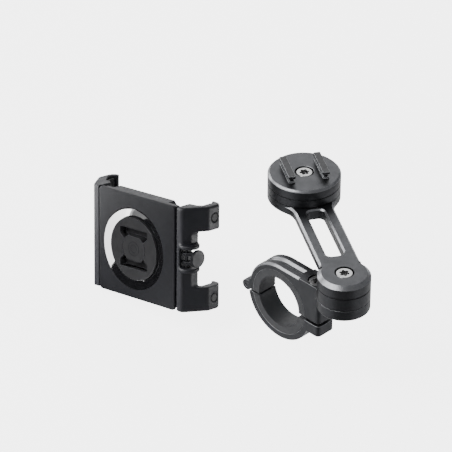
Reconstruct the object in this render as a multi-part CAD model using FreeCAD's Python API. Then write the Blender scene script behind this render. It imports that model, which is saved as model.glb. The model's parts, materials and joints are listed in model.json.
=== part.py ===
"""Phone mount: a handlebar clamp with a turning arm and a twist-lock head, and the phone clamp that docks on it.

Units are millimetres. Origin: centre of the handlebar bore. +X runs along the handlebar, +Z up along the pivots.
The phone clamp stands released beside the mount, in local axes of its own (see CLAMP_CENTRE and clamp_placement):
local X runs from the fixed jaw to the sliding jaw, local Y up the phone, local Z out of the back of the socket.
"""
import FreeCAD, Part
import math
import os

V = FreeCAD.Vector
AXES = {"X": V(1, 0, 0), "Y": V(0, 1, 0), "Z": V(0, 0, 1)}

# Handlebar clamp
BAR_R = 14.3              # bore for a 28.6 mm handlebar
LINER_R = 18.5            # outside of the rubber liner
RING_R = 21.95            # outside of the metal ring
HALF_W = 6.0              # half of the clamp's width along the bar
SPLIT_TOP, SPLIT_LOW = 0.0, -2.0      # jaw gap on the bolt side
BACK_TOP, BACK_LOW = -2.2, -3.2       # jaw gap on the hinge side
BLOCK_FRONT, BLOCK_BACK = -28.5, -16.0
BLOCK_BASE = -8.3
BLOCK_CORNER_R = 2.3
HINGE_Y, HINGE_Z = 23.5, -1.0
KNUCKLE_R, PIN_R = 3.0, 1.3
KNUCKLE_HALF = 2.5        # half width of the lower jaw's middle knuckle
KNUCKLE_GAP = 0.3
BOLT_Y, BOLT_R, BOLT_HEAD_R = -21.6, 2.5, 4.75
BOLT_TOP = 21.4
NUT_R, NUT_BORE_R, NUT_H = 3.7, 3.0, 2.6
DECK_Z = 21.9             # flat top of the upper jaw
GROOVE_END, BEVEL_END = -12.3, -14.0

# Barrel that the arm turns on
BARREL_Y, BARREL_R = -40.0, 13.7
BARREL_BASE, SEAM_LOW, SEAM_HIGH, ARM_TOP = 15.4, 21.3, 28.6, 35.9
NECK_FILLET = 4.0
SCREW_R, SCREW_HEAD_R, SCREW_HEAD_H, RECESS_R = 2.5, 4.7, 2.8, 5.05
SCREW_SINK = 0.35         # the screw heads sit this far below their faces
PIVOT_R, BUSH_R = 2.55, 4.0
TURN_GAP = 0.1            # running gap between faces that turn on each other
SEAM_STEP, SEAM_DEPTH = 0.14, 0.5     # step cut into each rim where stacked discs meet
INSERT_R = 3.8

# Arm and head
ARM_LENGTH, ARM_ANGLE = 78.4, 59.2
ARM_HALF_W, ARM_THICK, ARM_BEVEL, CUP_BEVEL = 10.5, 6.0, 1.0, 1.5
ARM_HEAD_FILLET, ARM_BARREL_FILLET = 14.0, 3.0
SLOT_HALF_W, SLOT_START, SLOT_END, SLOT_CORNER_R, SLOT_BEVEL = 4.75, 15.5, 57.5, 3.0, 0.8
HEAD_R, SPACER_H, HEAD_H = 19.3, 4.8, 5.8
HEAD_BEVEL = 1.1
LUG_OFFSET, LUG_LENGTH, LUG_HEIGHT = 9.2, 20.0, 4.4
LUG_TOP_W, LUG_STEM_W, LUG_CAP_H, PLINTH_W, PLINTH_H = 3.8, 2.2, 1.7, 3.6, 0.7

# Phone clamp, in its local axes
CLAMP_CENTRE = V(-16.6, 98.6, -9.4)
CLAMP_LEAN, CLAMP_ROLL = 13.2, 12.4   # degrees: top leaned away from the socket side, then turned in its own plane
PLATE_LEFT, PLATE_RIGHT, PLATE_HALF_H, PLATE_CORNER_R = -26.9, 30.7, 29.0, 2.2
COVER_T = 1.6
HOUSING_LEFT, HOUSING_RIGHT, HOUSING_HALF_H, HOUSING_FRONT = -26.5, 30.1, 28.2, -5.3
BODY_LEFT, BODY_RIGHT, BODY_FRONT = -22.5, 22.5, -10.3
BODY_BACK = -1.75
PHONE_PAD_T = 0.7
SOCKET_X, SOCKET_Y = -0.3, -1.2       # the socket's axis, from the middle of the plate
RING_OUT_R, RING_IN_R, RING_DEPTH = 22.65, 17.5, 1.3
ISLAND_R, ISLAND_HALF_H, ISLAND_CORNER_R, ISLAND_SEAM = 8.3, 6.8, 3.0, 0.3
WINDOW_HALF_W, WINDOW_LOW, WINDOW_STEP, WINDOW_TOP, WINDOW_NECK = 10.4, 4.9, 7.4, 11.1, 7.7
SOCKET_DEPTH, WINDOW_DEPTH, UNDERCUT_LOW, UNDERCUT_H = 5.6, 4.8, -4.6, 2.1
LOCK_R = 13.2
JAW_LEFT, JAW_BASE_W = -31.1, 4.1
PAD_FACE_LEFT, PAD_FACE_RIGHT = -35.0, 38.0      # the jaws hold a phone about 73 mm wide at rest
PHONE_BACK, PHONE_FRONT = -11.0, -19.5
SLIDE_LEFT, SLIDE_FLAT_W, SLIDE_REACH, SLIDE_CORNER_Z = 32.1, 4.2, 12.0, -12.6
ARM_INNER, ARM_OUTER, ARM_END_R = 15.4, 29.0, 1.3
BAR_W, BAR_CORNER_Z, BAR_FRONT, JAW_ROOT_R = 6.9, -4.4, -9.8, 1.8
WINDOW_WALL, WINDOW_MID, WINDOW_HALF = 2.4, 1.3, 5.25      # lever window in the jaw's bar
CHEEK_X, CHEEK_Z, CHEEK_R, CHEEK_T = 36.9, -4.8, 5.7, 2.3
ROD_R, ROD_Y, ROD_Z, ROD_END, ROD_SOCKET = 1.4, 21.5, -7.4, -18.0, 5.0
BUSH_OUT_R, BUSH_LENGTH, BUSH_XS = 1.95, 4.6, (-3.5, 17.9)
SPRING_START, SPRING_LENGTH = 1.4, 16.0
SCREW_XS, SCREW_Y, COVER_SCREW_R = (-19.6, 19.6), 26.2, 1.2
PIVOT_PIN_X, PIVOT_PIN_Z, PIVOT_PIN_R = 37.2, -2.8, 1.0
LEVER_EYE_R, LUG_Y_IN, LUG_Y_OUT, LEVER_PAD_R, LEVER_PAD_T = 2.2, 1.6, 3.2, 4.85, 1.8
LEVER_PAD_X, LEVER_PAD_Z = 41.2, -5.8
PLUG_R, PLUG_RECESS_R, PLUG_Y, PLUG_Z = 2.1, 2.6, 22.2, -16.9

NODES = {}


def box(x, y, z):
    """Box from three (low, high) pairs."""
    return Part.makeBox(x[1] - x[0], y[1] - y[0], z[1] - z[0], V(x[0], y[0], z[0]))


def rod(radius, base, axis, length):
    return Part.makeCylinder(radius, length, V(*base), AXES[axis])


def tube(outer, inner, base, axis, length):
    return rod(outer, base, axis, length).cut(rod(inner, base, axis, length))


def prism(points, axis, low, high):
    """Polygon swept square to its plane; its points are the other two coordinates, in X, Y, Z order."""
    place = {"X": lambda a, b: V(low, a, b), "Y": lambda a, b: V(a, low, b), "Z": lambda a, b: V(a, b, low)}[axis]
    corners = [place(a, b) for a, b in points]
    face = Part.Face(Part.makePolygon(corners + corners[:1]))
    return face.extrude(AXES[axis] * (high - low))


def fused(shapes):
    shapes = list(shapes)
    return shapes[0].multiFuse(shapes[1:]).removeSplitter()


def straight_edges(shape, axis, inside):
    """Straight edges along one axis whose middle lies in the test's region."""
    found = []
    for edge in shape.Edges:
        if isinstance(edge.Curve, Part.Line) and abs(edge.tangentAt(edge.FirstParameter).dot(AXES[axis])) > 0.999:
            middle = edge.CenterOfMass
            if inside(middle.x, middle.y, middle.z):
                found.append(edge)
    return found


def rounded(shape, radius, axis, inside=lambda x, y, z: True):
    return shape.makeFillet(radius, straight_edges(shape, axis, inside))


def slab(x, y, z, corner):
    """Box with its four upright edges rounded."""
    return rounded(box(x, y, z), corner, "Z")


def flare(half_width, radius, fillet, low, high, top_bevel=0.0, low_bevel=0.0):
    """Web between a disc at the origin and a beam along +Y, with concave fillets tangent to both and bevelled rims."""
    across = half_width + fillet
    along = math.sqrt((radius + fillet) ** 2 - across ** 2)
    share = radius / (radius + fillet)
    tip = (across * share, along * share)
    web = prism([(0, 0), tip, (half_width, along), (-half_width, along), (-tip[0], tip[1])], "Z", low, high)
    for side in (-1, 1):
        web = web.cut(rod(fillet, (side * across, along, low - 1), "Z", high - low + 2))
        if top_bevel:
            web = web.cut(Part.makeCone(fillet, fillet + top_bevel, top_bevel, V(side * across, along, high - top_bevel)))
        if low_bevel:
            web = web.cut(Part.makeCone(fillet + low_bevel, fillet, low_bevel, V(side * across, along, low)))
    return web


def bevelled_disc(radius, low, high, bevel):
    disc = rod(radius, (0, 0, low), "Z", high - low)
    rim = [e for e in disc.Edges if e.Length > 6 * radius and abs(e.CenterOfMass.z - high) < 0.01]
    return disc.makeChamfer(bevel, rim)


def seamed_disc(radius, low, high):
    """Disc with a fine step cut into both rims, so that stacked discs show a dark seam."""
    disc = rod(radius, (0, 0, low), "Z", high - low)
    for z in (low, high - SEAM_STEP):
        disc = disc.cut(tube(radius + 1, radius - SEAM_DEPTH, (0, 0, z), "Z", SEAM_STEP))
    return disc


def crown_sweep(section, front):
    """Section in X and Z, swept over the ring's crown from the hinge side and then straight to the front."""
    corners = [V(x, 0, z) for x, z in section]
    face = Part.Face(Part.makePolygon(corners + corners[:1]))
    return face.revolve(V(0, 0, 0), AXES["X"], -78).fuse(face.extrude(V(0, front, 0)))


def torx_socket(across, depth, top):
    """Six-lobed recess cut downwards from a screw head's top face."""
    lobes = [rod(across * 0.16, (across * 0.40 * math.cos(math.radians(a)), across * 0.40 * math.sin(math.radians(a)),
                                 top - depth), "Z", depth + 0.5) for a in range(0, 360, 60)]
    return fused([rod(across * 0.40, (0, 0, top - depth), "Z", depth + 0.5)] + lobes)


def button_screw(top, length):
    """M5 screw along -Z with a low domed head and a six-lobed socket."""
    head = bevelled_disc(SCREW_HEAD_R, top - SCREW_HEAD_H, top, 0.6)
    shank = rod(SCREW_R, (0, 0, top - length), "Z", length - SCREW_HEAD_H + 0.2)
    return head.fuse(shank).removeSplitter().cut(torx_socket(4.6, 2.0, top))


def moved(shape, x, y, z=0.0):
    copy = shape.copy()
    copy.translate(V(x, y, z))
    return copy


# ---------------------------------------------------------------- handlebar clamp

def knuckle(x_low, x_high):
    """Hinge barrel with the web that ties it to the ring."""
    barrel = rod(KNUCKLE_R, (x_low, HINGE_Y, HINGE_Z), "X", x_high - x_low)
    web = box((x_low, x_high), (LINER_R, HINGE_Y), (HINGE_Z - KNUCKLE_R, HINGE_Z + KNUCKLE_R))
    return barrel.fuse(web)


def upper_jaw():
    ring = rod(RING_R, (-HALF_W, 0, 0), "X", 2 * HALF_W)
    reach = 2 * RING_R
    keep = box((-HALF_W, HALF_W), (-reach, 0), (SPLIT_TOP, reach)).fuse(
        box((-HALF_W, HALF_W), (0, reach), (BACK_TOP, reach)))
    deck = rounded(box((-HALF_W, HALF_W), (BLOCK_FRONT, 0), (SPLIT_TOP, DECK_Z)), BLOCK_CORNER_R, "Z",
                   lambda x, y, z: y < BLOCK_FRONT + 1)
    neck = fused([flare(HALF_W, BARREL_R, NECK_FILLET, BARREL_BASE, DECK_Z),
                  seamed_disc(BARREL_R, BARREL_BASE, SEAM_LOW)])
    pocket = tube(2 * BARREL_R, 0.01, (0, 0, SEAM_LOW), "Z", 2).common(
        rod(BARREL_R + 0.15, (0, 0, SEAM_LOW), "Z", 2))
    body = fused([ring.common(keep), deck, moved(neck, 0, BARREL_Y)])
    for side in (-1, 1):
        ears = sorted((side * (KNUCKLE_HALF + KNUCKLE_GAP), side * HALF_W))
        body = body.fuse(knuckle(*ears).common(keep.fuse(rod(KNUCKLE_R, (-HALF_W, HINGE_Y, HINGE_Z), "X", 2 * HALF_W))))
    body = body.cut(moved(pocket, 0, BARREL_Y))
    groove = crown_sweep([(-0.6, DECK_Z - 1.25), (0.6, DECK_Z - 1.25), (1.95, DECK_Z + 0.1), (-1.95, DECK_Z + 0.1)],
                         GROOVE_END)
    bevels = [crown_sweep([(side * (HALF_W - 1.1), DECK_Z + 0.1), (side * (HALF_W + 0.1), DECK_Z + 0.1),
                           (side * (HALF_W + 0.1), DECK_Z - 1.1)], BEVEL_END) for side in (-1, 1)]
    slot = fused([rod(KNUCKLE_R + 0.4, (-KNUCKLE_HALF - KNUCKLE_GAP, HINGE_Y, HINGE_Z), "X",
                      2 * (KNUCKLE_HALF + KNUCKLE_GAP)),
                  box((-KNUCKLE_HALF - KNUCKLE_GAP, KNUCKLE_HALF + KNUCKLE_GAP), (LINER_R - 0.5, HINGE_Y + 4),
                      (HINGE_Z - 5, HINGE_Z + 0.5))])
    holes = [rod(LINER_R, (-HALF_W - 1, 0, 0), "X", 2 * HALF_W + 2),
             rod(PIN_R, (-HALF_W - 1, HINGE_Y, HINGE_Z), "X", 2 * HALF_W + 2),
             rod(BOLT_R + 0.25, (0, BOLT_Y, -1), "Z", DECK_Z + 2),
             rod(BOLT_HEAD_R + 0.3, (0, BOLT_Y, BOLT_TOP - 5.0), "Z", 10),
             rod(INSERT_R, (0, BARREL_Y, BARREL_BASE + 1.2), "Z", 10)]
    for tool in [groove, slot] + bevels + holes:
        body = body.cut(tool)
    return body.removeSplitter()


def lower_jaw():
    ring = rod(RING_R, (-HALF_W, 0, 0), "X", 2 * HALF_W)
    reach = 2 * RING_R
    keep = box((-HALF_W, HALF_W), (-reach, 0), (-reach, SPLIT_LOW)).fuse(
        box((-HALF_W, HALF_W), (0, reach), (-reach, BACK_LOW)))
    block = rounded(box((-HALF_W, HALF_W), (BLOCK_FRONT, BLOCK_BACK), (BLOCK_BASE, SPLIT_LOW)), BLOCK_CORNER_R, "Z",
                    lambda x, y, z: y < BLOCK_FRONT + 1)
    knuckle_web = prism([(LINER_R, BACK_LOW - 4), (LINER_R, BACK_LOW), (HINGE_Y - 2.6, HINGE_Z - 1),
                         (HINGE_Y + 2.6, HINGE_Z - 1), (HINGE_Y - 2.4, BACK_LOW - 4)], "X", -KNUCKLE_HALF, KNUCKLE_HALF)
    middle = rod(KNUCKLE_R, (-KNUCKLE_HALF, HINGE_Y, HINGE_Z), "X", 2 * KNUCKLE_HALF).fuse(knuckle_web)
    body = fused([ring.common(keep), block])
    for side in (-1, 1):
        ears = sorted((side * KNUCKLE_HALF, side * (HALF_W + 1)))
        body = body.cut(rod(KNUCKLE_R + 0.35, (ears[0], HINGE_Y, HINGE_Z), "X", ears[1] - ears[0]))
    body = body.fuse(middle)
    for tool in (rod(LINER_R, (-HALF_W - 1, 0, 0), "X", 2 * HALF_W + 2),
                 rod(PIN_R + 0.05, (-HALF_W - 1, HINGE_Y, HINGE_Z), "X", 2 * HALF_W + 2),
                 rod(NUT_R, (0, BOLT_Y, BLOCK_BASE - 1), "Z", 10)):
        body = body.cut(tool)
    return body.removeSplitter()


def liner(upper):
    """Half of the rubber sleeve between the ring and the bar, with a shallow lip at each face."""
    sleeve = tube(LINER_R, BAR_R, (-HALF_W, 0, 0), "X", 2 * HALF_W)
    reach = 2 * LINER_R
    if upper:
        keep = box((-HALF_W, HALF_W), (-reach, 0), (SPLIT_TOP, reach)).fuse(
            box((-HALF_W, HALF_W), (0, reach), (BACK_TOP, reach)))
    else:
        keep = box((-HALF_W, HALF_W), (-reach, 0), (-reach, SPLIT_LOW)).fuse(
            box((-HALF_W, HALF_W), (0, reach), (-reach, BACK_LOW)))
    return sleeve.common(keep)


def clamp_bolt():
    head = bevelled_disc(BOLT_HEAD_R, BOLT_TOP - 5.0, BOLT_TOP, 0.5)
    shank = rod(BOLT_R, (0, 0, -4.6), "Z", BOLT_TOP)
    return moved(head.fuse(shank).removeSplitter().cut(torx_socket(4.6, 2.6, BOLT_TOP)), 0, BOLT_Y)


def handlebar_clamp_nodes():
    NODES["clamp_upper_jaw"] = upper_jaw()
    NODES["clamp_lower_jaw"] = lower_jaw()
    NODES["liner_upper"] = liner(True)
    NODES["liner_lower"] = liner(False)
    NODES["hinge_pin"] = rod(PIN_R, (-HALF_W + 0.3, HINGE_Y, HINGE_Z), "X", 2 * HALF_W - 0.6)
    NODES["clamp_bolt"] = clamp_bolt()
    NODES["clamp_nut"] = moved(tube(NUT_R, NUT_BORE_R, (0, 0, BLOCK_BASE + 0.4), "Z", NUT_H), 0, BOLT_Y)


# ---------------------------------------------------------------- barrel, arm and head

def barrel_spacer():
    disc = seamed_disc(BARREL_R, SEAM_LOW, SEAM_HIGH - TURN_GAP)
    return moved(disc.cut(rod(PIVOT_R, (0, 0, SEAM_LOW - 1), "Z", 20)), 0, BARREL_Y)


def arm_body():
    """Arm along +Y from the barrel at the local origin, with its slot and the cup under the head."""
    low = ARM_TOP - ARM_THICK
    beam = box((-ARM_HALF_W, ARM_HALF_W), (6, ARM_LENGTH - 10), (low, ARM_TOP))
    beam = beam.makeChamfer(ARM_BEVEL, straight_edges(beam, "Y", lambda x, y, z: z > ARM_TOP - 0.1))
    beam = beam.makeChamfer(CUP_BEVEL, straight_edges(beam, "Y", lambda x, y, z: z < low + 0.1))
    head_web = flare(ARM_HALF_W, HEAD_R, ARM_HEAD_FILLET, low, ARM_TOP, ARM_BEVEL, CUP_BEVEL)
    head_web.rotate(V(0, 0, 0), AXES["Z"], 180)
    barrel = bevelled_disc(BARREL_R, SEAM_HIGH, ARM_TOP, 2.0)
    barrel = barrel.cut(tube(BARREL_R + 1, BARREL_R - SEAM_DEPTH, (0, 0, SEAM_HIGH), "Z", SEAM_STEP))
    cup = rod(HEAD_R, (0, ARM_LENGTH, low), "Z", ARM_THICK)
    cup = cup.makeChamfer(CUP_BEVEL, [e for e in cup.Edges if e.Length > 6 * HEAD_R and e.CenterOfMass.z < low + 0.1])
    body = fused([beam, moved(head_web, 0, ARM_LENGTH), cup,
                  flare(ARM_HALF_W, BARREL_R, ARM_BARREL_FILLET, low, ARM_TOP, ARM_BEVEL, CUP_BEVEL), barrel])
    slot = slab((-SLOT_HALF_W, SLOT_HALF_W), (SLOT_START, SLOT_END), (low - 1, ARM_TOP + 0.01), SLOT_CORNER_R)
    grown = SLOT_HALF_W + 2 * SLOT_BEVEL
    rim = slab((-grown, grown), (SLOT_START - 2 * SLOT_BEVEL, SLOT_END + 2 * SLOT_BEVEL),
               (ARM_TOP - SLOT_BEVEL, ARM_TOP + SLOT_BEVEL), SLOT_CORNER_R + 2 * SLOT_BEVEL)
    rim = rim.makeChamfer(2 * SLOT_BEVEL - 0.001, [e for e in rim.Edges if e.CenterOfMass.z < ARM_TOP - SLOT_BEVEL + 0.01])
    slot = slot.fuse(rim)
    for tool in (slot,
                 rod(RECESS_R, (0, 0, ARM_TOP - SCREW_HEAD_H - SCREW_SINK), "Z", 10),
                 rod(BUSH_R, (0, 0, SEAM_HIGH - 1), "Z", 20),
                 rod(INSERT_R, (0, ARM_LENGTH, low + 1.0), "Z", 10)):
        body = body.cut(tool)
    return body.removeSplitter()


def swung(shape):
    """From the arm's own axes to its place on the barrel."""
    copy = shape.copy()
    copy.rotate(V(0, 0, 0), AXES["Z"], ARM_ANGLE - 90)
    copy.translate(V(0, BARREL_Y, 0))
    return copy


def head_plate(low, high, bevel):
    plate = bevelled_disc(HEAD_R, low, high, bevel)
    for tool in (rod(RECESS_R, (0, 0, high - SCREW_HEAD_H - SCREW_SINK), "Z", 10), rod(BUSH_R, (0, 0, low - 1), "Z", 20)):
        plate = plate.cut(tool)
    return plate


def lug(side, base):
    """T-section rail that the phone clamp's socket slides over and twists under."""
    half = LUG_LENGTH / 2
    top = base + LUG_HEIGHT
    plinth = slab((-PLINTH_W / 2, PLINTH_W / 2), (-half, half), (base, base + PLINTH_H), 1.0)
    stem = box((-LUG_STEM_W / 2, LUG_STEM_W / 2), (-half + 1.2, half - 1.2), (base, top - LUG_CAP_H / 2))
    cap = slab((-LUG_TOP_W / 2, LUG_TOP_W / 2), (-half, half), (top - LUG_CAP_H, top), 0.6)
    return moved(fused([plinth, stem, cap]), side * LUG_OFFSET, 0)


def arm_and_head_nodes():
    seam = ARM_TOP + SPACER_H
    top = seam + HEAD_H
    bore = rod(BUSH_R, (0, 0, ARM_TOP - 1), "Z", 20)
    head = {"head_spacer": seamed_disc(HEAD_R, ARM_TOP + TURN_GAP, seam).cut(bore),
            "head_plate": head_plate(seam, top, HEAD_BEVEL),
            "twist_lugs": Part.makeCompound([lug(side, top) for side in (-1, 1)])}
    for name, shape in head.items():
        NODES[name] = swung(moved(shape, 0, ARM_LENGTH))
    NODES["barrel_spacer"] = barrel_spacer()
    NODES["arm"] = swung(arm_body())
    NODES["arm_screw"] = moved(button_screw(ARM_TOP - SCREW_SINK, 18.4), 0, BARREL_Y)
    NODES["head_screw"] = swung(moved(button_screw(top - SCREW_SINK, 15.0), 0, ARM_LENGTH))
    NODES["barrel_insert"] = moved(tube(INSERT_R, SCREW_R, (0, 0, BARREL_BASE + 1.2), "Z",
                                        SEAM_LOW - BARREL_BASE - 1.3), 0, BARREL_Y)
    NODES["head_insert"] = swung(moved(tube(INSERT_R, SCREW_R, (0, 0, ARM_TOP - ARM_THICK + 1.0), "Z",
                                            ARM_THICK - 1.1), 0, ARM_LENGTH))
    bush_top = ARM_TOP - SCREW_HEAD_H - SCREW_SINK - 0.1
    NODES["arm_pivot_bush"] = moved(tube(BUSH_R, PIVOT_R, (0, 0, SEAM_HIGH + 0.1), "Z", bush_top - SEAM_HIGH - 0.1),
                                    0, BARREL_Y)
    NODES["head_pivot_bush"] = swung(moved(tube(BUSH_R, PIVOT_R, (0, 0, ARM_TOP + 0.1), "Z",
                                                top - SCREW_HEAD_H - SCREW_SINK - ARM_TOP - 0.2), 0, ARM_LENGTH))


# ---------------------------------------------------------------- phone clamp, in local axes

def at_socket(shape):
    return moved(shape, SOCKET_X, SOCKET_Y)


def back_cover():
    plate = slab((PLATE_LEFT, PLATE_RIGHT), (-PLATE_HALF_H, PLATE_HALF_H), (-COVER_T, 0), PLATE_CORNER_R)
    rim = [e for e in plate.Edges if abs(e.CenterOfMass.z) < 0.01]
    plate = plate.makeFillet(0.6, rim)
    return plate.cut(at_socket(rod(RING_OUT_R, (0, 0, -COVER_T - 1), "Z", COVER_T + 2)))


def gloss_ring():
    outer = RING_OUT_R - 0.05
    section = [V(RING_IN_R + 0.05, 0, -COVER_T), V(outer, 0, -COVER_T), V(outer, 0, -0.15),
               V(RING_IN_R + 0.05, 0, -RING_DEPTH)]
    return at_socket(Part.Face(Part.makePolygon(section + section[:1])).revolve(V(0, 0, 0), AXES["Z"], 360))


def socket_disc():
    """Round socket with two mouths for the lugs, an undercut that they twist into, and a seam round its island."""
    disc = rod(RING_IN_R, (0, 0, -SOCKET_DEPTH), "Z", SOCKET_DEPTH)
    outline = [(-WINDOW_HALF_W, WINDOW_TOP), (WINDOW_HALF_W, WINDOW_TOP), (WINDOW_HALF_W, WINDOW_STEP),
               (WINDOW_NECK, WINDOW_LOW), (-WINDOW_NECK, WINDOW_LOW), (-WINDOW_HALF_W, WINDOW_STEP)]
    mouths = fused([prism([(x, side * y) for x, y in outline], "Z", -WINDOW_DEPTH, 1) for side in (-1, 1)])
    undercut = rod(LOCK_R, (0, 0, UNDERCUT_LOW), "Z", UNDERCUT_H)
    island = rod(ISLAND_R, (0, 0, -SOCKET_DEPTH), "Z", SOCKET_DEPTH).common(
        box((-ISLAND_R, ISLAND_R), (-ISLAND_HALF_H, ISLAND_HALF_H), (-SOCKET_DEPTH, 1)))
    island = rounded(island, ISLAND_CORNER_R, "Z")
    seam = tube(ISLAND_R + ISLAND_SEAM, ISLAND_R, (0, 0, -0.6), "Z", 1)
    return at_socket(disc.cut(mouths).cut(undercut).fuse(island).cut(seam).removeSplitter())


def front_body():
    """Housing behind the cover: a shallow tray as wide as the cover and a deeper block that the phone rests on."""
    tray = slab((HOUSING_LEFT, HOUSING_RIGHT), (-HOUSING_HALF_H, HOUSING_HALF_H), (HOUSING_FRONT, BODY_BACK), 1.6)
    block = box((BODY_LEFT, BODY_RIGHT), (-HOUSING_HALF_H, HOUSING_HALF_H), (BODY_FRONT, BODY_BACK))
    block = block.makeChamfer(2.0, straight_edges(block, "Z", lambda x, y, z: True))
    body = tray.fuse(block).removeSplitter()
    body = body.cut(at_socket(rod(RING_IN_R + 0.05, (0, 0, -SOCKET_DEPTH - 0.05), "Z", 8)))
    for side in (-1, 1):
        body = body.cut(rod(BUSH_OUT_R, (ROD_END - 2, side * ROD_Y, ROD_Z), "X", 80))
        for x in SCREW_XS:
            body = body.cut(rod(COVER_SCREW_R, (x, side * SCREW_Y, BODY_FRONT - 1), "Z", 2.5))
    return body


def left_jaw():
    """Full-height fixed jaw: a base beside the plate, then a wall that wraps round to hold the phone's edge."""
    inner = HOUSING_LEFT - 0.1
    wall = PAD_FACE_LEFT - 1.5
    outline = [(JAW_LEFT, 0), (JAW_LEFT + JAW_BASE_W, 0), (JAW_LEFT + JAW_BASE_W, BODY_BACK), (inner, BODY_BACK),
               (inner, -8.9), (inner - 2.2, PHONE_BACK + 0.9), (JAW_LEFT - 1.2, PHONE_BACK + 0.5), (wall, -16.0),
               (wall, PHONE_FRONT), (wall + 1.9, PHONE_FRONT - 1.6), (wall + 1.7, PHONE_FRONT - 3.4),
               (wall + 0.2, PHONE_FRONT - 3.9), (wall - 1.9, PHONE_FRONT - 2.6), (wall - 3.2, PHONE_FRONT + 0.2),
               (wall - 3.2, -13.6), (wall - 2.6, -11.2), (JAW_LEFT - 1.2, -1.4)]
    jaw = prism(outline, "Y", -PLATE_HALF_H + 0.6, PLATE_HALF_H)
    jaw = rounded(jaw, 1.6, "Y", lambda x, y, z: x < wall - 1.5)
    return rounded(jaw, 1.2, "Y", lambda x, y, z: abs(x - JAW_LEFT) < 1.3 and z > -2)


def left_grip_pad():
    """Rubber strip with shallow ribs down its face."""
    wall = PAD_FACE_LEFT - 1.5
    ribs = 4
    pitch = 0.75
    outline = [(wall + 2.3, -13.0), (wall, -16.0), (wall, PHONE_FRONT + 0.1)]
    for i in range(ribs):
        low = PHONE_FRONT + 0.3 + i * pitch
        outline += [(PAD_FACE_LEFT, low), (PAD_FACE_LEFT, low + 0.6 * pitch), (PAD_FACE_LEFT - 0.4, low + 0.8 * pitch)]
    outline.append((wall + 2.9, -13.8))
    return prism(outline, "Y", -PLATE_HALF_H + 2.6, PLATE_HALF_H - 1.6)


def pivot_pin():
    reach = WINDOW_HALF + 1.3
    return rod(PIVOT_PIN_R, (PIVOT_PIN_X, WINDOW_MID - reach, PIVOT_PIN_Z), "Y", 2 * reach)


def slide_outline(reach, corner_z, front, tail):
    """Outer section of the sliding jaw in local X and Z: flat back, slanted face, then side face; tail closes it."""
    return [(SLIDE_LEFT, 0), (SLIDE_LEFT + SLIDE_FLAT_W, 0), (SLIDE_LEFT + reach, corner_z),
            (SLIDE_LEFT + reach, front)] + tail


def outer_rim(arm, side):
    """The arm's end edges along its flat, slanted and side faces, on both ends for the slanted and side faces."""
    found = []
    for edge in arm.Edges:
        middle = edge.CenterOfMass
        at_end = abs(abs(middle.y) - ARM_OUTER) < 0.01
        outside = middle.x - SLIDE_LEFT > 0.6 - 0.62 * (middle.z + 1) if middle.z > SLIDE_CORNER_Z else \
            middle.x > SLIDE_LEFT + SLIDE_REACH - 1.5
        if at_end and outside and middle.z > PHONE_FRONT - 2:
            found.append(edge)
    return found


def gripping_arm(side):
    wall = PAD_FACE_RIGHT + 1.3
    tail = [(SLIDE_LEFT + SLIDE_REACH - 2.4, PHONE_FRONT - 3.3), (wall - 1.0, PHONE_FRONT - 3.6),
            (wall - 2.1, PHONE_FRONT - 3.3), (wall - 1.9, PHONE_FRONT - 1.7), (wall, PHONE_FRONT),
            (wall, PHONE_BACK - 1.2), (wall - 1.6, PHONE_BACK + 0.3), (SLIDE_LEFT, BAR_FRONT)]
    arm = prism(slide_outline(SLIDE_REACH, SLIDE_CORNER_Z, PHONE_FRONT - 0.6, tail), "Y",
                *sorted((side * ARM_INNER, side * ARM_OUTER)))
    arm = rounded(arm, 3.0, "Y", lambda x, y, z: abs(x - SLIDE_LEFT - SLIDE_FLAT_W) < 0.2)
    arm = rounded(arm, 2.0, "Y", lambda x, y, z: x > SLIDE_LEFT + SLIDE_REACH - 3)
    return arm.makeFillet(ARM_END_R, outer_rim(arm, side))


def jaw_root(arm, side):
    """Concave fillet where the bar's side face runs into a gripping arm."""
    corner, reach = SLIDE_LEFT + BAR_W, ARM_INNER - JAW_ROOT_R
    web = moved(arm, 0, -side * JAW_ROOT_R).common(
        box((corner - 0.5, corner + JAW_ROOT_R), sorted((side * reach, side * (ARM_INNER + 0.2))), (BAR_FRONT, 2)))
    return web.cut(rod(JAW_ROOT_R, (corner + JAW_ROOT_R, side * reach, BAR_FRONT - 1), "Z", 15))


def sliding_jaw():
    bar = prism(slide_outline(BAR_W, BAR_CORNER_Z, BAR_FRONT, [(SLIDE_LEFT, BAR_FRONT)]), "Y", -ARM_INNER, ARM_INNER)
    bar = rounded(bar, 2.0, "Y", lambda x, y, z: abs(x - SLIDE_LEFT - SLIDE_FLAT_W) < 0.2)
    arms = {side: gripping_arm(side) for side in (-1, 1)}
    body = fused([bar] + [arms[side] for side in arms] + [jaw_root(arms[side], side) for side in arms])
    body = body.cut(box((SLIDE_LEFT + WINDOW_WALL, SLIDE_LEFT + 20), (WINDOW_MID - WINDOW_HALF, WINDOW_MID + WINDOW_HALF),
                        (-15, 2)))
    for side in (-1, 1):
        low, high = sorted((WINDOW_MID + side * WINDOW_HALF, WINDOW_MID + side * (WINDOW_HALF + CHEEK_T)))
        cheek = rod(CHEEK_R, (CHEEK_X, low, CHEEK_Z), "Y", high - low)
        cheek = cheek.makeFillet(0.5, [e for e in cheek.Edges if e.Length > 6 * CHEEK_R])
        body = body.fuse(cheek.common(box((SLIDE_LEFT + 1, SLIDE_LEFT + 20), (low, high), (BAR_FRONT, 5))))
    body = body.removeSplitter()
    for side in (-1, 1):
        body = body.cut(rod(ROD_R, (SLIDE_LEFT - 1, side * ROD_Y, ROD_Z), "X", ROD_SOCKET + 1))
        body = body.cut(rod(PLUG_RECESS_R, (SLIDE_LEFT + SLIDE_REACH - 0.8, side * PLUG_Y, PLUG_Z), "X", 2.0))
    return body.cut(pivot_pin())


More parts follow.
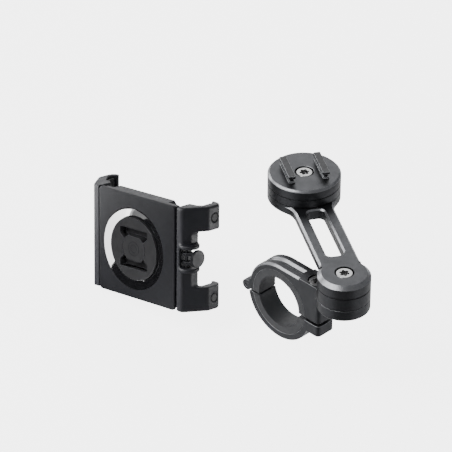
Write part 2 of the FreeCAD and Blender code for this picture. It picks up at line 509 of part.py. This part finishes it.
def slide_grip_pads():
    """Rubber faces inside both gripping arms."""
    face, wall = PAD_FACE_RIGHT, PAD_FACE_RIGHT + 1.3
    outline = [(face, PHONE_BACK - 2.2), (wall, PHONE_BACK - 1.6), (wall, PHONE_FRONT + 0.4), (face, PHONE_FRONT + 1.0)]
    return Part.makeCompound([prism(outline, "Y", *sorted((side * (ARM_INNER + 1), side * (ARM_OUTER - 1))))
                              for side in (-1, 1)])


def side_plugs():
    return Part.makeCompound([rod(PLUG_R, (SLIDE_LEFT + SLIDE_REACH - 0.8, side * PLUG_Y, PLUG_Z), "X", 0.6)
                              for side in (-1, 1)])


def cam_lever():
    """Lever with two eyes on the pivot pin, an arm from each eye, and a round thumb pad that joins them."""
    outline = [(PIVOT_PIN_X - 0.6, PIVOT_PIN_Z - 1.9), (PIVOT_PIN_X + 0.6, PIVOT_PIN_Z + 2.0),
               (LEVER_PAD_X + 0.9, LEVER_PAD_Z + 2.4), (LEVER_PAD_X + 0.9, LEVER_PAD_Z - 1.5),
               (LEVER_PAD_X - 0.5, LEVER_PAD_Z - 1.0)]
    pad = rod(LEVER_PAD_R, (LEVER_PAD_X, 0, LEVER_PAD_Z), "X", LEVER_PAD_T)
    parts = [pad.makeFillet(0.45, [e for e in pad.Edges if e.Length > 6 * LEVER_PAD_R])]
    for side in (-1, 1):
        low, high = sorted((side * LUG_Y_IN, side * LUG_Y_OUT))
        parts += [rod(LEVER_EYE_R, (PIVOT_PIN_X, low, PIVOT_PIN_Z), "Y", high - low), prism(outline, "Y", low, high)]
    return moved(fused(parts).cut(rod(PIVOT_PIN_R + 0.05, (PIVOT_PIN_X, -5, PIVOT_PIN_Z), "Y", 10)), 0, WINDOW_MID)


def phone_clamp_shapes():
    rods, bushes, springs, screws = [], [], [], []
    for side in (-1, 1):
        y = side * ROD_Y
        rods.append(rod(ROD_R, (ROD_END, y, ROD_Z), "X", SLIDE_LEFT + ROD_SOCKET - ROD_END))
        bushes += [tube(BUSH_OUT_R, ROD_R + 0.06, (x, y, ROD_Z), "X", BUSH_LENGTH) for x in BUSH_XS]
        springs.append(tube(BUSH_OUT_R - 0.05, ROD_R + 0.1, (SPRING_START, y, ROD_Z), "X", SPRING_LENGTH))
        screws += [tube(COVER_SCREW_R, 0.6, (x, side * SCREW_Y, BODY_FRONT + 0.1), "Z", 1.4) for x in SCREW_XS]
    pad = slab((-17, 17), (-24.3, 24.3), (BODY_FRONT - PHONE_PAD_T, BODY_FRONT), 3.0)
    compounds = {"guide_rods": rods, "rod_bushes": bushes, "return_springs": springs, "cover_screws": screws}
    shapes = {name: Part.makeCompound(solids) for name, solids in compounds.items()}
    shapes.update({
        "back_cover": back_cover(), "gloss_ring": gloss_ring(), "socket_disc": socket_disc(),
        "front_body": front_body(), "front_rubber_pad": pad, "fixed_jaw": left_jaw(), "fixed_grip_pad": left_grip_pad(),
        "sliding_jaw": sliding_jaw(), "slide_grip_pads": slide_grip_pads(), "side_plugs": side_plugs(),
        "lever_pin": pivot_pin(),
        "cam_lever": cam_lever()})
    return shapes


def clamp_placement():
    """Local axes to the frame: the socket side faces -X, leaned back, then turned in the plate's own plane."""
    lean, roll = math.radians(CLAMP_LEAN), math.radians(CLAMP_ROLL)
    out = V(-math.cos(lean), 0, math.sin(lean))
    rise = V(math.sin(lean), 0, math.cos(lean))
    side = V(0, -1, 0)
    across = side * math.cos(roll) + rise * math.sin(roll)
    up = rise * math.cos(roll) - side * math.sin(roll)
    return FreeCAD.Placement(CLAMP_CENTRE, FreeCAD.Rotation(across, up, out, "ZXY"))


def phone_clamp_nodes():
    matrix = clamp_placement().toMatrix()
    for name, shape in phone_clamp_shapes().items():
        NODES[name] = shape.transformed(matrix, copy=True)


def main():
    os.makedirs("parts", exist_ok=True)
    handlebar_clamp_nodes()
    arm_and_head_nodes()
    phone_clamp_nodes()
    for name, shape in sorted(NODES.items()):
        solids = shape.Solids
        valid = shape.isValid() and all(s.Volume > 0 for s in solids)
        print(f"{name:20s} solids {len(solids)} valid {valid} volume {shape.Volume:9.1f}")
        shape.exportStep(f"parts/{name}.step")


main()
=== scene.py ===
"""Looks of the handlebar phone mount: fine copies of the CAD pieces, their details, materials, floor and light."""
import bmesh
import bpy
import json
import math
from mathutils import Matrix, Vector


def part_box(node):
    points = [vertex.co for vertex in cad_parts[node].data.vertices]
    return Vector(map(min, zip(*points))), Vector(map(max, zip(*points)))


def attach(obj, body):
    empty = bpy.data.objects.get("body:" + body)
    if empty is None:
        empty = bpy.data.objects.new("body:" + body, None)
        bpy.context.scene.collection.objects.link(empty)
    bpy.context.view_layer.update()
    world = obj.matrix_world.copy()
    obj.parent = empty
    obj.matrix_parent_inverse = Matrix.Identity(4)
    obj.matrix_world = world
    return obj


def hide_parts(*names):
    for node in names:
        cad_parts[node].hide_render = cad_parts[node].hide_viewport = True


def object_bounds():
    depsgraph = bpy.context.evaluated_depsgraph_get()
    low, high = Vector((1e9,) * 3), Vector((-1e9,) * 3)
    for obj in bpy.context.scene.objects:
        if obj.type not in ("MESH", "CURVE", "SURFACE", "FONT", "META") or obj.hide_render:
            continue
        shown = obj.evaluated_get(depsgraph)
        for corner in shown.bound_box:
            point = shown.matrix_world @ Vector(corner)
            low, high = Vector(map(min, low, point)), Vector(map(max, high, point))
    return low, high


MM = 0.001
MERGE_MM = 0.002  # points of a CAD mesh closer than this are one
SHARP_DEG = 32.0  # edges that turn by more than this are rounded, or kept sharp
ROUND_STEPS = 192  # sides of a large lathed piece
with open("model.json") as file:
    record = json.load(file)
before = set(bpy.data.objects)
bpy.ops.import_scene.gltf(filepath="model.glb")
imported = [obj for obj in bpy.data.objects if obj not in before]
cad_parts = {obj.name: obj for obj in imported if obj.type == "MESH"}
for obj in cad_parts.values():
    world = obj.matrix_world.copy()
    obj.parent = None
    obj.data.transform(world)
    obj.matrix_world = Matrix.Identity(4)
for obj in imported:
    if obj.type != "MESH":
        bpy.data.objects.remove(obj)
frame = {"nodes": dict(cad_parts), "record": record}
cad_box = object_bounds()
scene = bpy.context.scene
record = frame["record"]
body_of = {node: body for body, nodes in record["behaviour"]["bodies"].items() for node in nodes}
slot_of = {part["node"]: part["material_slot"] for part in record["subparts"]}
joint = {j["name"]: j for j in record["behaviour"]["joints"]}

# The phone clamp's own axes: across the jaws, up the phone and out of the socket, from the socket's centre
ACROSS = Vector(joint["jaw_slide"]["axis"]).normalized()
OUT = Vector(joint["twist_lock"]["axis"]).normalized()
UP = OUT.cross(ACROSS).normalized()
SOCKET = Matrix.Translation(Vector(joint["twist_lock"]["pos_m"])) @ Matrix((ACROSS, UP, OUT)).transposed().to_4x4()
HEAD = Vector(joint["head_turn"]["pos_m"])
BARREL = Vector(joint["arm_turn"]["pos_m"])
BOLT = (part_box("clamp_bolt")[0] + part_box("clamp_bolt")[1]) / 2


# ---------------------------------------------------------------- materials

def link(material, source, output, target, socket):
    material.node_tree.links.new(source.outputs[output], target.inputs[socket])


def node(material, kind, **settings):
    made = material.node_tree.nodes.new(kind)
    for key, value in settings.items():
        setattr(made, key, value)
    return made


def noise(material, size_mm, detail, stretch=(1.0, 1.0, 1.0)):
    """Noise whose lumps are about that size, fixed to the piece."""
    place = node(material, "ShaderNodeTexCoord")
    mapping = node(material, "ShaderNodeMapping")
    mapping.inputs["Scale"].default_value = stretch
    texture = node(material, "ShaderNodeTexNoise")
    texture.inputs["Scale"].default_value = 1.0 / (size_mm * MM)
    texture.inputs["Detail"].default_value = detail
    texture.inputs["Roughness"].default_value = 0.6
    link(material, place, "Object", mapping, "Vector")
    link(material, mapping, "Vector", texture, "Vector")
    return texture


def spread(material, source, low, high):
    """Noise remapped to run from low to high."""
    scale = node(material, "ShaderNodeMapRange")
    scale.inputs["From Min"].default_value = 0.3
    scale.inputs["From Max"].default_value = 0.7
    scale.inputs["To Min"].default_value = low
    scale.inputs["To Max"].default_value = high
    link(material, source, "Fac", scale, "Value")
    return scale


def surface(name, dark, light, roughness, grain_mm, grain_depth, metallic=0.0, mottle_mm=7.0, coat=0.0, specular=0.5,
            stretch=(1.0, 1.0, 1.0)):
    """Colour mottled between dark and light, uneven roughness, and a grain raised by grain_depth mm."""
    material = bpy.data.materials.new(name)
    material.use_nodes = True
    shader = material.node_tree.nodes["Principled BSDF"]
    shader.inputs["Metallic"].default_value = metallic
    shader.inputs["Coat Weight"].default_value = coat
    shader.inputs["Coat Roughness"].default_value = 0.03
    shader.inputs["Specular IOR Level"].default_value = specular
    colours = node(material, "ShaderNodeMix", data_type="RGBA")
    colours.inputs["A"].default_value = (*dark, 1.0)
    colours.inputs["B"].default_value = (*light, 1.0)
    share = spread(material, noise(material, mottle_mm, 4.0), 0.0, 1.0)
    link(material, share, "Result", colours, "Factor")
    link(material, colours, "Result", shader, "Base Color")
    uneven = spread(material, noise(material, mottle_mm * 0.35, 3.0), roughness[0], roughness[1])
    link(material, uneven, "Result", shader, "Roughness")
    grain = noise(material, grain_mm, 2.0, stretch)
    bump = node(material, "ShaderNodeBump")
    bump.inputs["Strength"].default_value = 1.0
    bump.inputs["Distance"].default_value = grain_depth * MM
    link(material, grain, "Fac", bump, "Height")
    link(material, bump, "Normal", shader, "Normal")
    return material


def turned(name, centre, colour, roughness):
    """Steel turned on a lathe: fine rings round an upright axis through centre, in a satin finish."""
    material = surface(name, tuple(0.82 * c for c in colour), colour, roughness, 0.25, 0.004, metallic=1.0,
                       mottle_mm=2.0)
    place = node(material, "ShaderNodeTexCoord")
    mapping = node(material, "ShaderNodeMapping")
    mapping.inputs["Location"].default_value = -centre
    rings = node(material, "ShaderNodeTexWave", wave_type="RINGS", rings_direction="Z")
    rings.inputs["Scale"].default_value = 1.0 / (0.8 * MM)
    rings.inputs["Distortion"].default_value = 0.4
    bump = node(material, "ShaderNodeBump")
    bump.inputs["Strength"].default_value = 0.6
    bump.inputs["Distance"].default_value = 0.012 * MM
    link(material, place, "Object", mapping, "Vector")
    link(material, mapping, "Vector", rings, "Vector")
    link(material, rings, "Fac", bump, "Height")
    link(material, bump, "Normal", material.node_tree.nodes["Principled BSDF"], "Normal")
    return material


ANODISED = surface("anodised_aluminium", (0.034, 0.035, 0.038), (0.045, 0.046, 0.050), (0.36, 0.44), 0.22, 0.010,
                   metallic=0.85, mottle_mm=9.0)
# Lighter copy of the anodised finish for bevels and chamfers: a painted highlight along the edges
ANODISED_EDGE_HIGHLIGHT = surface("anodised_edge_painted_highlight", (0.20, 0.203, 0.213), (0.27, 0.273, 0.284), (0.30, 0.38), 0.3, 0.005,
                        metallic=0.85, mottle_mm=3.0)
SHELL = surface("shell_polymer", (0.0070, 0.0072, 0.0098), (0.0100, 0.0103, 0.0138), (0.42, 0.54), 0.28, 0.015,
                mottle_mm=8.0, specular=0.3)
# Lighter copy of the shell polymer for its bevels: a painted highlight along the edges
SHELL_EDGE_HIGHLIGHT = surface("shell_edge_painted_highlight", (0.045, 0.045, 0.052), (0.060, 0.060, 0.068), (0.34, 0.42), 0.3, 0.006,
                     mottle_mm=3.0)
SOCKET_SHELL = surface("socket_polymer", (0.026, 0.026, 0.028), (0.034, 0.034, 0.036), (0.46, 0.56), 0.24, 0.015,
                       mottle_mm=6.0, specular=0.3)
GLOSS = surface("gloss_polymer", (0.006, 0.006, 0.007), (0.009, 0.009, 0.010), (0.02, 0.05), 4.0, 0.0006,
                mottle_mm=10.0, coat=1.0)
LINER = surface("liner_rubber", (0.023, 0.024, 0.027), (0.032, 0.033, 0.036), (0.50, 0.62), 0.5, 0.010, mottle_mm=5.0)
GRIP = surface("grip_rubber", (0.020, 0.020, 0.021), (0.030, 0.030, 0.031), (0.62, 0.76), 0.35, 0.030, mottle_mm=4.0)
LUG = surface("lug_polymer", (0.014, 0.0145, 0.016), (0.020, 0.0205, 0.023), (0.42, 0.52), 0.3, 0.010, mottle_mm=4.0,
              specular=0.25)
# Lighter copy of the lug polymer for its bevels: a painted highlight along the edges
LUG_EDGE_HIGHLIGHT = surface("lug_edge_painted_highlight", (0.16, 0.165, 0.175), (0.22, 0.225, 0.235), (0.30, 0.38), 0.3, 0.005, mottle_mm=3.0)
PIN_STEEL = surface("pin_steel", (0.05, 0.05, 0.055), (0.08, 0.08, 0.085), (0.34, 0.44), 0.2, 0.004, metallic=1.0,
                    mottle_mm=2.0)
STEEL = surface("insert_steel", (0.42, 0.42, 0.42), (0.55, 0.55, 0.54), (0.24, 0.36), 0.2, 0.004, metallic=1.0,
                mottle_mm=2.0, stretch=(0.2, 1.0, 1.0))
SCREW_STEEL = {"arm_screw": turned("arm_screw_steel", BARREL, (0.30, 0.30, 0.30), (0.22, 0.32)),
               "head_screw": turned("head_screw_steel", HEAD, (0.30, 0.30, 0.30), (0.22, 0.32)),
               "clamp_bolt": turned("clamp_bolt_steel", BOLT, (0.25, 0.25, 0.25), (0.26, 0.36))}
RIM = surface("rim_polymer", (0.03, 0.03, 0.032), (0.04, 0.04, 0.042), (0.10, 0.14), 3.0, 0.001, coat=1.0)
BLACK_CLOTH = surface("black_cloth", (0.008, 0.008, 0.008), (0.012, 0.012, 0.012), (0.9, 1.0), 2.0, 0.1, specular=0.0)
GREY_CLOTH = surface("grey_cloth", (0.22, 0.22, 0.22), (0.26, 0.26, 0.26), (0.9, 1.0), 2.0, 0.1, specular=0.0)
# Each slot's face material, then its edge material; the lighter edge materials paint a highlight on bevels and
# chamfers
BY_SLOT = {"anodised_aluminium": (ANODISED, ANODISED_EDGE_HIGHLIGHT), "shell_polymer": (SHELL, SHELL_EDGE_HIGHLIGHT),
           "gloss_polymer": (GLOSS, GLOSS), "liner_rubber": (LINER, LINER), "grip_rubber": (GRIP, GRIP),
           "lug_polymer": (LUG, LUG_EDGE_HIGHLIGHT), "insert_steel": (STEEL, STEEL), "silver_steel": (STEEL, STEEL)}


def finishes(name):
    """A piece's two materials: its faces, then its rounded edges, whose lighter colour on aluminium, shell and lugs
    is a painted highlight.
    """
    if name in SCREW_STEEL:
        return SCREW_STEEL[name], SCREW_STEEL[name]
    if name == "socket_disc":
        return SOCKET_SHELL, SHELL_EDGE_HIGHLIGHT
    if name in ("lever_pin", "hinge_pin"):
        return PIN_STEEL, PIN_STEEL
    return BY_SLOT[slot_of[name]]


# ---------------------------------------------------------------- pieces

def add_piece(name, mesh, body, materials, replaced=()):
    piece = bpy.data.objects.new(name, mesh)
    scene.collection.objects.link(piece)
    for material in materials:
        mesh.materials.append(material)
    for polygon in mesh.polygons:
        polygon.use_smooth = True
    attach(piece, body)
    if replaced:
        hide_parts(*replaced)
    return piece


def round_edges(piece, width_mm):
    """Small radius on every sharp edge, in the second material (lighter on aluminium, shell and lugs, a painted
    highlight along the edges), with flat faces kept flat.
    """
    bevel = piece.modifiers.new("Edges", "BEVEL")
    bevel.limit_method = "ANGLE"
    bevel.angle_limit = math.radians(SHARP_DEG)
    bevel.width = width_mm * MM
    bevel.segments = 2
    bevel.use_clamp_overlap = False
    # Bevel faces take the lighter second material: a painted highlight along the edges
    bevel.material = 1 if len(piece.data.materials) > 1 else 0
    normals = piece.modifiers.new("Normals", "WEIGHTED_NORMAL")
    normals.keep_sharp = True
    normals.weight = 80


def clean_copy(name):
    """The CAD node's mesh with its seams merged and its flat faces whole."""
    source = frame["nodes"][name].data
    bare = bpy.data.meshes.new(name + "_mesh")
    bare.from_pydata([v.co.copy() for v in source.vertices], [], [list(p.vertices) for p in source.polygons])
    work = bmesh.new()
    work.from_mesh(bare)
    bmesh.ops.remove_doubles(work, verts=work.verts, dist=MERGE_MM * MM)
    bmesh.ops.dissolve_degenerate(work, edges=work.edges, dist=MERGE_MM * MM)
    bmesh.ops.dissolve_limit(work, angle_limit=math.radians(0.8), verts=work.verts, edges=work.edges)
    bmesh.ops.recalc_face_normals(work, faces=work.faces)
    work.to_mesh(bare)
    work.free()
    return bare


def paint_chamfer_highlight(piece, axis, beyond_mm):
    """Lighter edge material, a painted highlight, on the faces that slope to an axis, neither along it nor across it,
    where Y is beyond a limit.
    """
    across, along = 0.3, 0.95
    for polygon in piece.data.polygons:
        if across < abs(polygon.normal[axis]) < along and polygon.center.y > beyond_mm * MM:
            polygon.material_index = 1


def refine(name, width_mm):
    """Fine copy of a CAD node, with its edges rounded unless the width is 0.0."""
    piece = add_piece(name + "_fine", clean_copy(name), body_of[name], finishes(name), [name])
    # Chosen chamfers take the lighter edge material: a painted highlight
    if name in CHAMFERS:
        paint_chamfer_highlight(piece, *CHAMFERS[name])
    if width_mm:
        round_edges(piece, width_mm)
    else:
        piece.data.set_sharp_from_angle(angle=math.radians(SHARP_DEG))
    return piece


def soften(name, voxel_mm=0.4, passes=9):
    """Moulded piece with every edge rounded evenly, as it leaves its tool."""
    piece = add_piece(name + "_fine", clean_copy(name), body_of[name], finishes(name)[:1], [name])
    remesh = piece.modifiers.new("Grid", "REMESH")
    remesh.mode = "VOXEL"
    remesh.voxel_size = voxel_mm * MM
    remesh.use_smooth_shade = True
    relax = piece.modifiers.new("Relax", "SMOOTH")
    relax.factor = 0.5
    relax.iterations = passes
    return piece


def lathe(profile, steps, place):
    """Closed profile of (radius, height) in mm, turned round the place's Z axis."""
    mesh = bpy.data.meshes.new("lathe")
    count = len(profile)
    points = []
    for step in range(steps):
        turn = 2 * math.pi * step / steps
        points += [place @ Vector((r * MM * math.cos(turn), r * MM * math.sin(turn), z * MM)) for r, z in profile]
    faces = []
    for step in range(steps):
        here, there = step * count, (step + 1) % steps * count
        for k in range(count):
            after = (k + 1) % count
            faces.append((here + k, there + k, there + after, here + after))
    mesh.from_pydata(points, [], faces)
    mesh.validate()
    return mesh


# Width in mm of the rounded edge on each refined copy; 0.0 leaves the edges sharp
WIDTHS = {"clamp_upper_jaw": 0.12, "clamp_lower_jaw": 0.2, "arm": 0.0, "twist_lugs": 0.22, "liner_upper": 0.2,
          "liner_lower": 0.2, "clamp_bolt": 0.12, "arm_screw": 0.12, "head_screw": 0.12, "hinge_pin": 0.15,
          "back_cover": 0.0, "socket_disc": 0.15, "front_body": 0.25, "front_rubber_pad": 0.25,
          "fixed_grip_pad": 0.12, "slide_grip_pads": 0.2, "side_plugs": 0.15, "cam_lever": 0.15, "lever_pin": 0.0,
          "guide_rods": 0.15, "rod_bushes": 0.0, "return_springs": 0.0, "cover_screws": 0.1, "clamp_nut": 0.1,
          "barrel_insert": 0.0, "head_insert": 0.0, "arm_pivot_bush": 0.0, "head_pivot_bush": 0.0}
# Pieces whose machined chamfers get a painted highlight in the lighter edge material: the axis that they slope to,
# and the Y in mm beyond which the highlight is painted
CHAMFERS = {"arm": (2, -60.0), "clamp_upper_jaw": (0, -15.0)}


def ring_piece():
    """Piano-gloss ring round the socket: a rounded outer lip, then a shallow cone down to the socket's rim."""
    profile = [(17.56, -1.6), (22.6, -1.6), (22.6, -0.08), (22.56, 0.0)]
    profile += [(22.48 - 0.82 * k, -0.015 - 0.186 * k) for k in range(7)]
    piece = add_piece("gloss_ring_fine", lathe(profile, ROUND_STEPS, SOCKET), body_of["gloss_ring"],
                      [GLOSS], ["gloss_ring"])
    piece.data.set_sharp_from_angle(angle=math.radians(15))
    return piece


def turned_pieces():
    """The stacked discs of the barrel and the head, with fine chamfers beside the dark seams between them."""
    seam, dip, edge = 0.24, 0.5, 0.03
    well, well_depth = 5.05, 3.15
    for name, centre in (("barrel_spacer", BARREL), ("head_spacer", HEAD), ("head_plate", HEAD)):
        low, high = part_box(name)
        radius = (high.x - low.x) / 2 / MM
        bottom, top = low.z / MM, high.z / MM
        bore = 2.55 if name == "barrel_spacer" else 4.0
        profile = [(radius - dip, bottom), (radius - dip, bottom + seam), (radius - edge, bottom + seam),
                   (radius, bottom + seam + edge)]
        if name == "head_plate":
            profile += [(radius, top - 1.2), (radius - 0.05, top - 1.05), (radius - 1.0, top - 0.1),
                        (radius - 1.16, top), (well + 0.12, top), (well, top - 0.12), (well, top - well_depth),
                        (bore, top - well_depth), (bore, bottom)]
        else:
            profile += [(radius, top - seam - edge), (radius - edge, top - seam), (radius - dip, top - seam),
                        (radius - dip, top), (bore, top), (bore, bottom)]
        place = Matrix.Translation((centre.x, centre.y, 0.0))
        piece = add_piece(name + "_fine", lathe(profile, ROUND_STEPS, place), body_of[name],
                          [ANODISED, ANODISED_EDGE_HIGHLIGHT], [name])
        # The head plate's top chamfer takes the lighter edge material: a painted highlight
        for polygon in piece.data.polygons:
            polygon.material_index = 1 if name == "head_plate" and 0.2 < polygon.normal.z < 0.98 else 0
        piece.data.set_sharp_from_angle(angle=math.radians(30))


def island_mark():
    """Plain double ring raised on the middle of the socket, and the polished rim round the socket."""
    rim = [(17.2, -0.5), (17.2, 0.03), (17.42, 0.05), (17.5, -0.04), (17.5, -0.5)]
    add_piece("socket_rim", lathe(rim, ROUND_STEPS, SOCKET), "phone_clamp", [RIM])
    for index, radius in enumerate((3.9, 2.1)):
        profile = [(radius - 0.16, -0.05), (radius + 0.16, -0.05), (radius + 0.1, 0.05), (radius - 0.1, 0.05)]
        add_piece("island_ring_%d" % index, lathe(profile, ROUND_STEPS // 2, SOCKET), "phone_clamp",
                  [SHELL])


pieces = {name: refine(name, width) for name, width in WIDTHS.items()}
pieces.update({name: soften(name) for name in ("fixed_jaw", "sliding_jaw")})
turned_pieces()
pieces["gloss_ring"] = ring_piece()
island_mark()


# ---------------------------------------------------------------- floor, light and camera

def ground(name, level, material, glow, seen):
    """Wide level sheet; either the camera sees it or the object's shading does."""
    mesh = bpy.data.meshes.new(name)
    half = 6.0
    mesh.from_pydata([(-half, -half, level), (half, -half, level), (half, half, level), (-half, half, level)], [],
                     [(0, 1, 2, 3)])
    sheet = bpy.data.objects.new(name, mesh)
    scene.collection.objects.link(sheet)
    mesh.materials.append(material)
    paint = material.node_tree.nodes["Principled BSDF"]
    paint.inputs["Emission Color"].default_value = (1.0, 1.0, 1.0, 1.0)
    paint.inputs["Emission Strength"].default_value = glow
    sheet.visible_camera = seen
    sheet.visible_diffuse = not seen
    sheet.visible_glossy = not seen
    sheet.visible_shadow = seen


def backdrop(level, material):
    """Dome that carries the floor's white up behind the object; only the camera sees it."""
    radius, sides, rings = 5.9, 64, 12
    points = [(radius * math.cos(lift) * math.cos(turn), radius * math.cos(lift) * math.sin(turn),
               level + radius * math.sin(lift))
              for lift in (0.5 * math.pi * ring / rings for ring in range(rings + 1))
              for turn in (2.0 * math.pi * side / sides for side in range(sides))]
    faces = [(ring * sides + side, (ring + 1) * sides + side, (ring + 1) * sides + (side + 1) % sides,
              ring * sides + (side + 1) % sides) for ring in range(rings) for side in range(sides)]
    mesh = bpy.data.meshes.new("backdrop")
    mesh.from_pydata(points, [], faces)
    mesh.shade_smooth()
    dome = bpy.data.objects.new("backdrop", mesh)
    scene.collection.objects.link(dome)
    mesh.materials.append(material)
    dome.visible_diffuse = False
    dome.visible_glossy = False
    dome.visible_transmission = False
    dome.visible_shadow = False


def floor():
    """Pale floor, lit from within for a clean white, and the softer bounce that it gives the object."""
    gap = 0.2 * MM
    level = cad_box[0].z - gap
    paint = surface("floor_paint", (0.86, 0.86, 0.86), (0.88, 0.88, 0.88), (0.80, 0.86), 3.0, 0.01, mottle_mm=200.0,
                    specular=0.2)
    ground("floor", level, paint, 4.0, True)
    ground("floor_bounce", level + 0.05 * MM, paint.copy(), 0.15, False)
    backdrop(level, paint)


def softbox(name, at, towards, size, power, only=(), diffuse=1.0):
    """Rectangular light of so many watts, unseen by the camera; it can be kept to some pieces only."""
    light = bpy.data.lights.new(name, "AREA")
    light.shape = "RECTANGLE"
    light.size, light.size_y = size
    light.energy = power
    light.diffuse_factor = diffuse
    lamp = bpy.data.objects.new(name, light)
    scene.collection.objects.link(lamp)
    lamp.location = at
    lamp.rotation_mode = "QUATERNION"
    lamp.rotation_quaternion = (Vector(towards) - Vector(at)).to_track_quat("-Z", "Y")
    lamp.visible_camera = False
    if only:
        kept = bpy.data.collections.new(name + "_pieces")
        for piece in only:
            kept.objects.link(piece)
        lamp.light_linking.receiver_collection = kept
    return lamp


def ring_strip(name, place, centre, along, size, power):
    """Small softbox that only the gloss ring reflects, given in mm on the axes of place; it shines along -Z."""
    lamp = softbox(name, (0, 0, 0), (0, 0, -1), [side * MM for side in size], power, [pieces["gloss_ring"]],
                   diffuse=0.0)
    turn = Matrix.Rotation(math.atan2(along[1], along[0]), 4, "Z")
    lamp.rotation_mode = "XYZ"
    lamp.matrix_world = place @ Matrix.Translation(Vector(centre) * MM) @ turn


def flag(name, place, corners, cloth):
    """Dark card that shows only in glossy reflections, with its corners in mm on the axes of place."""
    mesh = bpy.data.meshes.new(name)
    mesh.from_pydata([place @ (Vector(c) * MM) for c in corners], [], [tuple(range(len(corners)))])
    card = bpy.data.objects.new(name, mesh)
    scene.collection.objects.link(card)
    mesh.materials.append(cloth)
    card.visible_camera = False
    card.visible_diffuse = False
    card.visible_shadow = False
    card.visible_transmission = False


def studio():
    """Soft lights from behind and above, a few kept to single pieces, and dark cards for the reflections."""
    world = bpy.data.worlds.new("studio")
    world.use_nodes = True
    sky = world.node_tree.nodes["Background"]
    sky.inputs["Color"].default_value = (0.95, 0.97, 1.0, 1.0)
    sky.inputs["Strength"].default_value = 0.30
    scene.world = world
    softbox("top_back", (0.70, 0.71, 0.72), (0.0, 0.04, 0.0), (1.0, 0.9), 9.0)
    softbox("above", (-0.75, 0.08, 0.92), (0.0, 0.04, 0.0), (0.5, 0.5), 6.5)
    softbox("left_back", (-0.75, 0.66, 0.66), (0.0, 0.06, 0.0), (0.8, 0.7), 9.0)
    softbox("back_low", (-0.12, 1.2, 0.3), (0.0, 0.04, 0.03), (0.5, 0.35), 4.0)
    softbox("plate_glow", SOCKET @ Vector((-0.120, 0.010, 0.040)), SOCKET @ Vector((-0.020, 0.0, 0.0)),
            (0.060, 0.120), 0.25, [pieces[name] for name in ("back_cover", "fixed_jaw")])
    softbox("jaw_glow", SOCKET @ Vector((-0.150, 0.060, 0.150)), SOCKET @ Vector((0.0, 0.0, 0.0)),
            (0.060, 0.120), 1.3, [pieces[name] for name in ("fixed_jaw", "sliding_jaw")])
    softbox("lever_glow", SOCKET @ Vector((0.150, -0.050, -0.110)), SOCKET @ Vector((0.04, 0.0, 0.0)),
            (0.100, 0.100), 0.32, [pieces[name] for name in ("cam_lever", "sliding_jaw", "side_plugs")])
    softbox("top_faces", (0.85, 0.86, 0.03), (0.0, 0.1, 0.0), (0.5, 0.3), 0.9,
            [pieces[name] for name in ("front_body", "back_cover", "fixed_jaw", "sliding_jaw")])
    ring_strip("ring_strip", SOCKET, (-34.2, -11.2, 30.0), (-0.683, -0.730), (9.5, 11.3), 0.0085)
    upwards = Matrix.Rotation(math.pi, 4, "X")
    ring_strip("ring_strip_low", upwards, (-125.0, -156.0, 46.0), (1.0, 0.0), (98.0, 14.0), 0.014)
    flag("flag_beside_clamp", SOCKET, [(20, 90, 56), (20, -34, 56), (-200, -34, 56), (-200, 90, 56)], BLACK_CLOTH)
    level = cad_box[0].z / MM - 0.1
    patches = [((-66, -20), (100, 320), BLACK_CLOTH), ((-300, -66), (166, 320), BLACK_CLOTH),
               ((-900, -15), (-900, -40), GREY_CLOTH)]
    for index, (x, y, cloth) in enumerate(patches):
        flag("flag_floor_%d" % index, Matrix(), [(x[0], y[0], level), (x[1], y[0], level), (x[1], y[1], level),
                                                 (x[0], y[1], level)], cloth)


def camera():
    """At the photograph's angle: 44.5 degrees round from the front and 34.5 degrees above."""
    azimuth, elevation, distance = math.radians(-44.5), math.radians(34.5), 1.5
    aim = Vector((-0.0079, 0.0369, 0.0303))
    back = Vector((math.sin(azimuth) * math.cos(elevation), -math.cos(azimuth) * math.cos(elevation),
                   math.sin(elevation)))
    lens = bpy.data.cameras.new("camera")
    lens.sensor_width = 36.0
    lens.lens = 230.6
    lens.clip_start, lens.clip_end = 0.1, 20.0
    eye = bpy.data.objects.new("camera", lens)
    scene.collection.objects.link(eye)
    eye.location = aim + back * distance
    eye.rotation_mode = "QUATERNION"
    eye.rotation_quaternion = (-back).to_track_quat("-Z", "Y")
    scene.camera = eye


floor()
studio()
camera()
